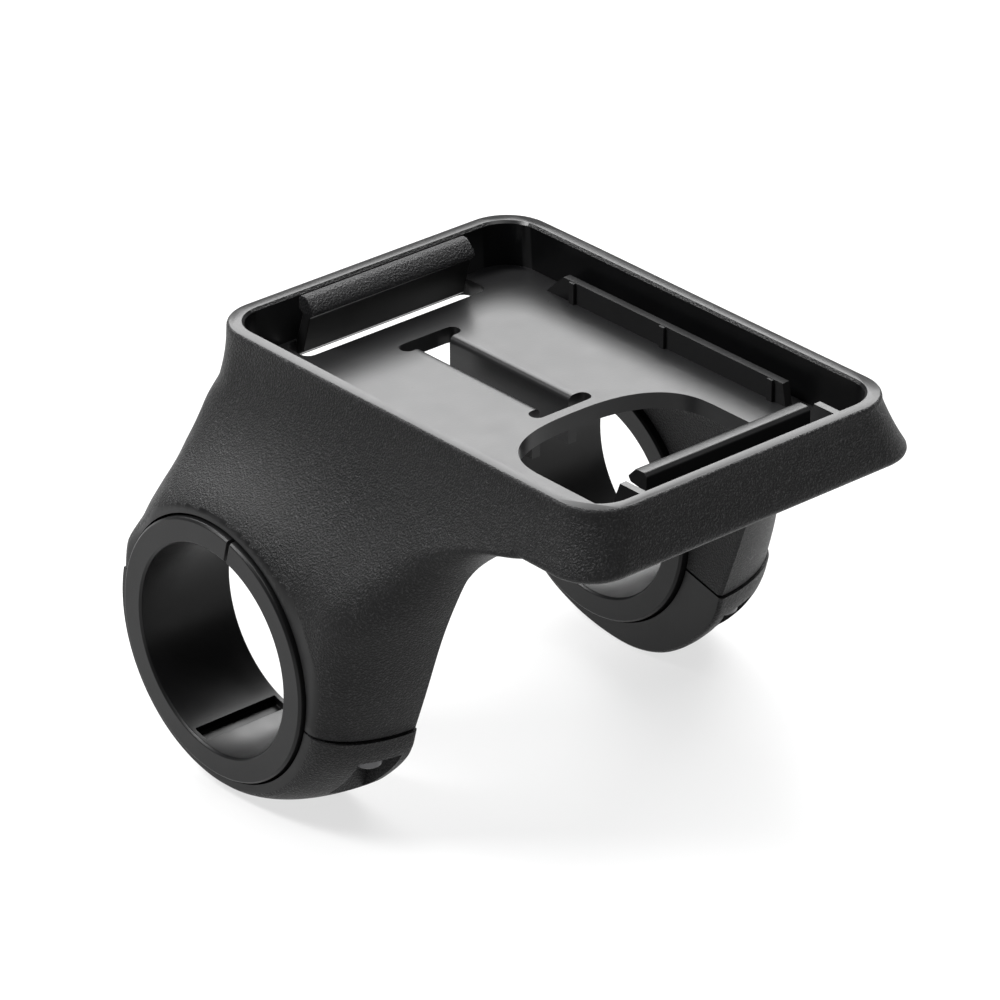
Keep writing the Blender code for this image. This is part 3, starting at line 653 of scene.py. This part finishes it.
def cap_section(side, x):
    """Outline at one distance along the bar: a plain band outside, swelling to the screw boss inside."""
    swell = rounded(1.0 - max((x - FRONT_FLAT_X) / (CLAMP_OUTER_X - FRONT_FLAT_X), 0.0))
    points = []
    for spot in smooth_outline([(s * MM, h * MM) for s, h in CAP_PROFILE], 10):
        forward = max(spot.x / spot.length, 0.0)
        band = BAND_REAR + (BAND_FRONT - BAND_REAR) * forward
        radius = band + (max(spot.length, band) - band) * swell - along(INNER_EDGE, x / MM) * MM
        shape = spot * (radius / spot.length)
        points.append(CLAMP_FRAME @ Vector((side * x, -shape.x, shape.y)))
    return points


def clamp_cap(side, name, material):
    """Lower half of a clamp, with its screw pocket and the hook that turns on the hinge bar."""
    sections = [cap_section(side, x * MM) for x in CAP_STATIONS]
    cap = loft(sections, name, PARTS, material)
    arc = [math.radians(a) for a in range(-30, -216, -10)]
    hook = [(HINGE_S + HOOK_OUTER * math.cos(a), HOOK_OUTER * math.sin(a)) for a in arc]
    hook += [(HINGE_S + HOOK_INNER * math.cos(a), HOOK_INNER * math.sin(a)) for a in reversed(arc)]
    root = [(-16.7 * MM, -0.5 * MM), (-16.5 * MM, -3.2 * MM), (HINGE_S + 0.4 * MM, -2.0 * MM),
            (HINGE_S + 0.9 * MM, -1.0 * MM)]
    middle = clamp_section(side, (HOOK_SPAN[0] + HOOK_SPAN[1]) / 2)
    width = HOOK_SPAN[0] - HOOK_SPAN[1]
    above = clamp_box(f"above_split_{side:+d}", side, (18 * MM, 40 * MM), (-30 * MM, 30 * MM),
                      (-CLEARANCE / 2, 20 * MM))
    bore = cylinder(f"cap_bore_{side:+d}", CLAMP_BORE, CLAMP_CUT_LENGTH,
                    clamp_place(side, CAP_MIDDLE_X, 0) @ ALONG_X, BORE_SEGMENTS)
    pocket = clamp_box(f"screw_pocket_{side:+d}", side, (POCKET_INNER_X, POCKET_OUTER_X),
                       (16.95 * MM, 30 * MM), (-30 * MM, -CAP_FLANGE))
    hole = cylinder(f"screw_hole_{side:+d}", SCREW_SHANK + 0.4 * MM, 12 * MM,
                    clamp_place(side, SCREW_X, SCREW_S), HOLE_SEGMENTS)
    cut(cap, above, bore, pocket, hole)
    join(cap, prism(f"hook_root_{side:+d}", root, width - 0.3 * MM, middle),
         prism(f"hook_{side:+d}", hook, width, middle))
    move_origin(cap, clamp_place(side, CAP_MIDDLE_X, HINGE_S).translation)
    return cap


def spacer_ring(side, name, material):
    """Reducer ring, split at the top and thinned along a film hinge at the bottom."""
    half = (RING_OUTER_X - RING_INNER_X) / 2
    edge = half - RING_CHAMFER
    outside, inside = RING_RADIUS - RING_CHAMFER, BAR_RADIUS + RING_CHAMFER
    profile = [(RING_RADIUS, edge), (RING_RADIUS, -edge), (outside, -half), (inside, -half),
               (BAR_RADIUS, -edge), (BAR_RADIUS, edge), (inside, half), (outside, half)]
    frame = clamp_place(side, (RING_OUTER_X + RING_INNER_X) / 2, 0) @ ALONG_X
    ring = turned(name, profile, frame, BORE_SEGMENTS, PARTS, material)
    slit = clamp_box(f"slit_{side:+d}", side, (15 * MM, 40 * MM), (-RING_SLIT / 2, RING_SLIT / 2),
                     (10 * MM, 20 * MM))
    groove = clamp_box(f"film_hinge_{side:+d}", side, (RING_INNER_X + 0.8 * MM, RING_OUTER_X - 0.8 * MM),
                       (-RING_GROOVE_WIDTH / 2, RING_GROOVE_WIDTH / 2),
                       (-BAR_RADIUS - RING_GROOVE_DEPTH, -10 * MM))
    cut(ring, slit, groove)
    return ring


def clamp_screw(side, name, material):
    """Socket-head screw, standing in its hole with its head under the cap's flange."""
    seat = -CAP_FLANGE - CLEARANCE
    base = seat - SCREW_HEAD_HEIGHT
    profile = [(0.0, SCREW_TIP), (SCREW_SHANK - 0.25 * MM, SCREW_TIP), (SCREW_SHANK, SCREW_TIP - 0.3 * MM),
               (SCREW_SHANK, seat), (SCREW_HEAD - 0.12 * MM, seat), (SCREW_HEAD, seat - 0.15 * MM),
               (SCREW_HEAD, base + 0.3 * MM), (SCREW_HEAD - 0.3 * MM, base), (0.0, base)]
    bm = bmesh.new()
    verts = [bm.verts.new((radius, 0.0, height)) for radius, height in profile]
    edges = [bm.edges.new(pair) for pair in zip(verts, verts[1:])]
    bmesh.ops.spin(bm, geom=verts + edges, cent=(0, 0, 0), axis=(0, 0, 1), angle=2 * math.pi, steps=HOLE_SEGMENTS)
    bmesh.ops.remove_doubles(bm, verts=bm.verts, dist=0.001 * MM)
    screw = object_from(bm, name, PARTS, material)
    screw.matrix_world = clamp_place(side, SCREW_X, SCREW_S)
    socket_frame = clamp_place(side, SCREW_X, SCREW_S, base)
    cut(screw, cylinder(f"socket_{side:+d}", SOCKET_RADIUS, 1.8 * MM, socket_frame, 6))
    return screw


# ---------------------------------------------------------------- materials

class Graph:
    """Short names for building a node tree."""

    def __init__(self, name):
        self.material = bpy.data.materials.new(name)
        self.material.use_nodes = True
        self.tree = self.material.node_tree
        self.shader = self.tree.nodes["Principled BSDF"]
        self.position = self.tree.nodes.new("ShaderNodeTexCoord").outputs["Object"]

    def node(self, kind, inputs=(), **settings):
        made = self.tree.nodes.new(kind)
        for key, value in settings.items():
            setattr(made, key, value)
        for socket, value in dict(inputs).items():
            if isinstance(value, bpy.types.NodeSocket):
                self.tree.links.new(value, made.inputs[socket])
            else:
                made.inputs[socket].default_value = value
        return made

    def noise(self, size, detail=2.0, roughness=0.5):
        """Noise whose features are about size across, in metres."""
        inputs = {"Vector": self.position, "Scale": 1.0 / size, "Detail": detail, "Roughness": roughness}
        return self.node("ShaderNodeTexNoise", inputs).outputs["Fac"]

    def ramp(self, value, low, high, out_low, out_high):
        inputs = {"Value": value, "From Min": low, "From Max": high, "To Min": out_low, "To Max": out_high}
        return self.node("ShaderNodeMapRange", inputs).outputs["Result"]

    def math(self, operation, *values):
        return self.node("ShaderNodeMath", dict(enumerate(values)), operation=operation).outputs[0]

    def mix(self, factor, first, second):
        made = self.node("ShaderNodeMix", {"Factor": factor}, data_type="RGBA")
        colours = [socket for socket in made.inputs if socket.type == "RGBA"]
        for socket, value in zip(colours, (first, second)):
            if isinstance(value, bpy.types.NodeSocket):
                self.tree.links.new(value, socket)
            else:
                socket.default_value = (*value, 1.0)
        return next(socket for socket in made.outputs if socket.type == "RGBA")

    def bump(self, height, distance, strength=1.0, normal=None):
        inputs = {"Height": height, "Distance": distance, "Strength": strength}
        if normal is not None:
            inputs["Normal"] = normal
        return self.node("ShaderNodeBump", inputs).outputs["Normal"]

    def set(self, **values):
        for socket, value in values.items():
            socket = socket.replace("_", " ")
            if isinstance(value, bpy.types.NodeSocket):
                self.tree.links.new(value, self.shader.inputs[socket])
            else:
                self.shader.inputs[socket].default_value = value
        return self.material


PLASTIC_IOR = 1.29


def edge_highlight(g):
    """Mask that rises from 0 on flat faces to 1 on convex edges, for highlights painted along the edges."""
    return g.ramp(g.node("ShaderNodeNewGeometry").outputs["Pointiness"], 0.505, 0.56, 0.0, 1.0)


def grained_plastic():
    """Spark-eroded mould texture: fine sharp grains over a faint cloudiness."""
    g = Graph("grained_black_plastic")
    grain = g.noise(0.00024, 2.0, 0.6)
    coarse = g.noise(0.0005, 2.0)
    cloud = g.noise(0.009, 3.0)
    sparkle = g.ramp(grain, 0.54, 0.74, 0.0, 1.0)
    roughness = g.math("ADD", g.ramp(cloud, 0.3, 0.7, 0.44, 0.5), g.math("MULTIPLY", sparkle, -0.2))
    colour = g.mix(g.ramp(cloud, 0.35, 0.65, 0.0, 1.0), (0.0016, 0.0016, 0.0018), (0.0026, 0.0026, 0.0028))
    colour = g.mix(sparkle, colour, (0.024, 0.024, 0.0245))
    # Painted highlight: convex edges lightened towards grey.
    colour = g.mix(g.math("MULTIPLY", edge_highlight(g), 0.35), colour, (0.02, 0.02, 0.021))
    normal = g.bump(coarse, 0.00005, 0.6, g.bump(grain, 0.0002, 1.0))
    return g.set(Base_Color=colour, Roughness=roughness, Normal=normal, IOR=PLASTIC_IOR)


def tool_streaks(g):
    """Fine marks drawn out along the bar, closely spaced across it."""
    stretch = g.node("ShaderNodeMapping", {"Vector": g.position, "Scale": (1.0, 9.0, 1.0)})
    inputs = {"Vector": stretch.outputs["Vector"], "Scale": 260.0, "Detail": 4.0, "Roughness": 0.6}
    return g.node("ShaderNodeTexNoise", inputs).outputs["Fac"]


def satin_plastic(name, streaked=False):
    """Smooth moulded face with handling variation and, on the tray, faint tool marks."""
    g = Graph(name)
    haze = g.noise(0.004, 4.0, 0.6)
    colour = g.mix(haze, (0.002, 0.002, 0.0022), (0.0035, 0.0035, 0.0037))
    # Painted highlight: convex edges lightened towards grey.
    colour = g.mix(g.math("MULTIPLY", edge_highlight(g), 0.4), colour, (0.02, 0.02, 0.0205))
    normal = g.bump(g.noise(0.0003, 2.0), 0.000012, 0.35)
    if streaked:
        streaks = tool_streaks(g)
        roughness = g.math("ADD", g.ramp(streaks, 0.3, 0.7, -0.01, 0.01), g.ramp(haze, 0.3, 0.7, 0.28, 0.32))
        normal = g.bump(streaks, 0.00001, 0.1, normal)
    else:
        roughness = g.ramp(haze, 0.3, 0.7, 0.30, 0.40)
    return g.set(Base_Color=colour, Roughness=roughness, Normal=normal, IOR=PLASTIC_IOR)


def dark_steel():
    """Blackened steel, brighter on its edges from painted highlights."""
    g = Graph("blackened_steel")
    wear = g.noise(0.0006, 3.0)
    colour = g.mix(g.ramp(wear, 0.4, 0.7, 0.0, 1.0), (0.012, 0.012, 0.013), (0.035, 0.035, 0.036))
    # Painted highlight: convex edges lightened to bright steel.
    colour = g.mix(g.math("MULTIPLY", edge_highlight(g), 0.2), colour, (0.4, 0.4, 0.41))
    return g.set(Base_Color=colour, Metallic=1.0, Roughness=g.ramp(wear, 0.3, 0.7, 0.25, 0.45),
                 Normal=g.bump(g.noise(0.00015), 0.00001, 0.4))


def brass():
    """Turned brass with a slightly uneven tone."""
    g = Graph("turned_brass")
    tone = g.noise(0.0008, 3.0)
    colour = g.mix(tone, (0.62, 0.42, 0.16), (0.8, 0.6, 0.28))
    return g.set(Base_Color=colour, Metallic=1.0, Roughness=g.ramp(tone, 0.3, 0.7, 0.2, 0.4),
                 Normal=g.bump(g.noise(0.0001), 0.00001, 0.3))


GRAINED = grained_plastic()
SATIN = satin_plastic("satin_black_plastic")
TRAY_SATIN = satin_plastic("satin_tray_plastic", streaked=True)
STEEL = dark_steel()
BRASS = brass()


# ---------------------------------------------------------------- pieces

EDGE_ROUND = 0.12 * MM
RING_EDGE_ROUND = 0.08 * MM
SHARP_ANGLE = math.radians(34.0)
BORE_SKIN = 0.15 * MM
LATCH_HEAD_Z = 30.7 * MM


def evaluate(obj):
    """Replace the object's mesh by the result of its modifiers, in the row frame."""
    bpy.context.view_layer.update()
    evaluated = obj.evaluated_get(bpy.context.evaluated_depsgraph_get())
    mesh = bpy.data.meshes.new_from_object(evaluated)
    obj.modifiers.clear()
    obj.data = mesh
    mesh.transform(obj.matrix_world)
    obj.matrix_world = Matrix.Identity(4)


def bake_mesh(obj, edge=EDGE_ROUND):
    """Apply the modifiers, shade smoothly and, unless edge is 0, round the edges."""
    evaluate(obj)
    obj.data.shade_smooth()
    obj.data.set_sharp_from_angle(angle=SHARP_ANGLE)
    if edge:
        bevel = obj.modifiers.new("edge_rounding", "BEVEL")
        bevel.width = edge
        bevel.segments = 2
        bevel.limit_method = "ANGLE"
        bevel.angle_limit = SHARP_ANGLE
        bevel.miter_outer = "MITER_ARC"
        bevel.harden_normals = True
        bevel.use_clamp_overlap = True
        evaluate(obj)
    return obj


def finish_piece(obj, node, body, materials, choose=None):
    """Give each face its material, and let the piece stand for its CAD node and ride on its body."""
    obj.data.materials.clear()
    for material in materials:
        obj.data.materials.append(material)
    for polygon in obj.data.polygons:
        polygon.material_index = choose(polygon.center) if choose else 0
    obj.name = f"{node}_visual"
    obj.data.name = obj.name
    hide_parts(node)
    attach(obj, body)


def body_zone(centre):
    """0 grained outside, 1 satin inside of the tray, 2 satin bore and outer clamp faces."""
    margin = 0.05 * MM
    within_width = abs(centre.x) < CAVITY_HALF_WIDTH + margin
    within_length = CAVITY_FRONT - margin < centre.y < CAVITY_REAR + margin
    if within_width and within_length and centre.z > 20 * MM:
        return 1
    radius = math.hypot(centre.y, centre.z)
    if abs(centre.x) > 21 * MM and radius < CLAMP_BORE + BORE_SKIN:
        return 2
    if abs(centre.x) > CLAMP_OUTER_X - 0.25 * MM and radius < BAND_FRONT + 1.0 * MM:
        return 2
    return 0


def cap_zone(centre):
    """0 grained outside, 1 satin bore and outer face."""
    bore = math.hypot(centre.y, centre.z) < CLAMP_BORE + BORE_SKIN
    outer_face = abs(centre.x) > CLAMP_OUTER_X - 0.05 * MM
    return 1 if bore or outer_face else 0


def rear_latch_zone(centre):
    """0 grained head, 1 satin tongue."""
    return 0 if centre.z > LATCH_HEAD_Z else 1


def front_latch_zone(centre):
    """1 satin all over."""
    return 1


def make_pieces():
    """Every visual piece, in one order: body, latches, then each side's cap, ring and screw."""
    finish_piece(bake_mesh(holder_body(GRAINED)), "holder_body", "holder",
                 (GRAINED, TRAY_SATIN, SATIN), body_zone)
    finish_piece(bake_mesh(latch("rear_latch_piece", REAR_LATCH, REAR_LATCH_PIVOT, GRAINED)),
                 "rear_release_latch", "rear_latch", (GRAINED, SATIN), rear_latch_zone)
    finish_piece(bake_mesh(latch("front_latch_piece", FRONT_LATCH, FRONT_LATCH_PIVOT, GRAINED)),
                 "front_latch_bar", "front_latch", (GRAINED, SATIN), front_latch_zone)
    for side, label in ((-1, "left"), (1, "right")):
        finish_piece(bake_mesh(clamp_cap(side, f"{label}_cap_piece", GRAINED)), f"{label}_clamp_cap",
                     f"{label}_cap", (GRAINED, SATIN), cap_zone)
        finish_piece(bake_mesh(spacer_ring(side, f"{label}_ring_piece", SATIN), RING_EDGE_ROUND),
                     f"{label}_spacer_ring", f"{label}_ring", (SATIN,))
        finish_piece(bake_mesh(clamp_screw(side, f"{label}_screw_piece", STEEL), 0.0),
                     f"{label}_clamp_screw", f"{label}_screw", (STEEL,))


def finish_inserts():
    """The CAD inserts keep their shape and get their brass."""
    for label in ("left", "right"):
        insert = frame["nodes"][f"{label}_threaded_insert"]
        insert.data.materials.clear()
        insert.data.materials.append(BRASS)


for name in (PARTS, CUTTERS):
    bpy.context.scene.collection.children.link(bpy.data.collections.new(name))
make_pieces()
finish_inserts()
for tool in list(bpy.data.collections[CUTTERS].objects):
    bpy.data.objects.remove(tool, do_unlink=True)


# ---------------------------------------------------------------- stage, light and camera

FLOOR_GAP = 0.2 * MM
FLOOR_SIZE = 8.0
LIGHT_TARGET = Vector((0.0, -0.015, 0.012))
WORLD_STRENGTH = 0.12
SENSOR_WIDTH_MM = 36.0
LENS_MM = 218.2
CAMERA_DISTANCE = 0.69693
CAMERA_TARGET = Vector((0.00636, -0.00174, 0.00544))
CAMERA_AZIMUTH = math.radians(-40.77)
CAMERA_ELEVATION = math.radians(27.54)
CAMERA_ROLL = math.radians(-0.35)


def direction(azimuth, elevation):
    """Unit vector from the object towards an azimuth, where 0 looks along +Y, and an elevation."""
    return Vector((math.sin(azimuth) * math.cos(elevation), -math.cos(azimuth) * math.cos(elevation),
                   math.sin(elevation)))


def stage_floor(z):
    """Pale floor that glows a little, so that it stays near white under soft light."""
    g = Graph("pale_floor")
    tone = g.noise(0.05, 2.0)
    material = g.set(Base_Color=g.mix(tone, (0.17, 0.17, 0.17), (0.19, 0.19, 0.19)), Roughness=0.9,
                     Emission_Color=(1.0, 1.0, 1.0, 1.0), Emission_Strength=0.7)
    bpy.ops.mesh.primitive_plane_add(size=FLOOR_SIZE, location=(0, 0, z))
    floor = bpy.context.object
    floor.name = "stage_floor"
    floor.data.materials.append(material)


def studio_world():
    """Even white surroundings."""
    world = bpy.data.worlds.new("studio")
    bpy.context.scene.world = world
    world.use_nodes = True
    background = world.node_tree.nodes["Background"]
    background.inputs["Color"].default_value = (1.0, 1.0, 1.0, 1.0)
    background.inputs["Strength"].default_value = WORLD_STRENGTH


def softbox(name, angles, distance, size, power):
    """Area light at an azimuth and elevation in degrees from the object, facing it."""
    away = direction(*(math.radians(a) for a in angles))
    light = bpy.data.lights.new(name, "AREA")
    light.shape = "RECTANGLE"
    light.size, light.size_y = size
    light.energy = power
    lamp = bpy.data.objects.new(name, light)
    bpy.context.scene.collection.objects.link(lamp)
    lamp.location = LIGHT_TARGET + away * distance
    lamp.rotation_euler = away.to_track_quat("Z", "Y").to_euler()


def place_camera():
    """Long-lens camera from the front left, a little above the object."""
    camera_data = bpy.data.cameras.new("camera")
    camera = bpy.data.objects.new("camera", camera_data)
    bpy.context.scene.collection.objects.link(camera)
    camera_data.sensor_width = SENSOR_WIDTH_MM
    camera_data.lens = LENS_MM
    camera_data.clip_start = 0.01
    back = direction(CAMERA_AZIMUTH, CAMERA_ELEVATION)
    right = Vector((math.cos(CAMERA_AZIMUTH), math.sin(CAMERA_AZIMUTH), 0.0))
    up = back.cross(right)
    rolled_right = right * math.cos(CAMERA_ROLL) + up * math.sin(CAMERA_ROLL)
    rolled_up = back.cross(rolled_right)
    pose = Matrix((rolled_right, rolled_up, back)).transposed().to_4x4()
    pose.translation = CAMERA_TARGET + back * CAMERA_DISTANCE
    camera.matrix_world = pose
    bpy.context.scene.camera = camera


stage_floor(cad_box[0][2] - FLOOR_GAP)
studio_world()
softbox("back_softbox", (139, 40), 0.9, (1.0, 0.55), 18)
softbox("top_softbox", (40, 78), 0.8, (0.6, 0.6), 8)
softbox("left_softbox", (-126, 50), 0.8, (0.25, 0.25), 9)
place_camera()
bpy.context.scene.view_settings.view_transform = "Standard"
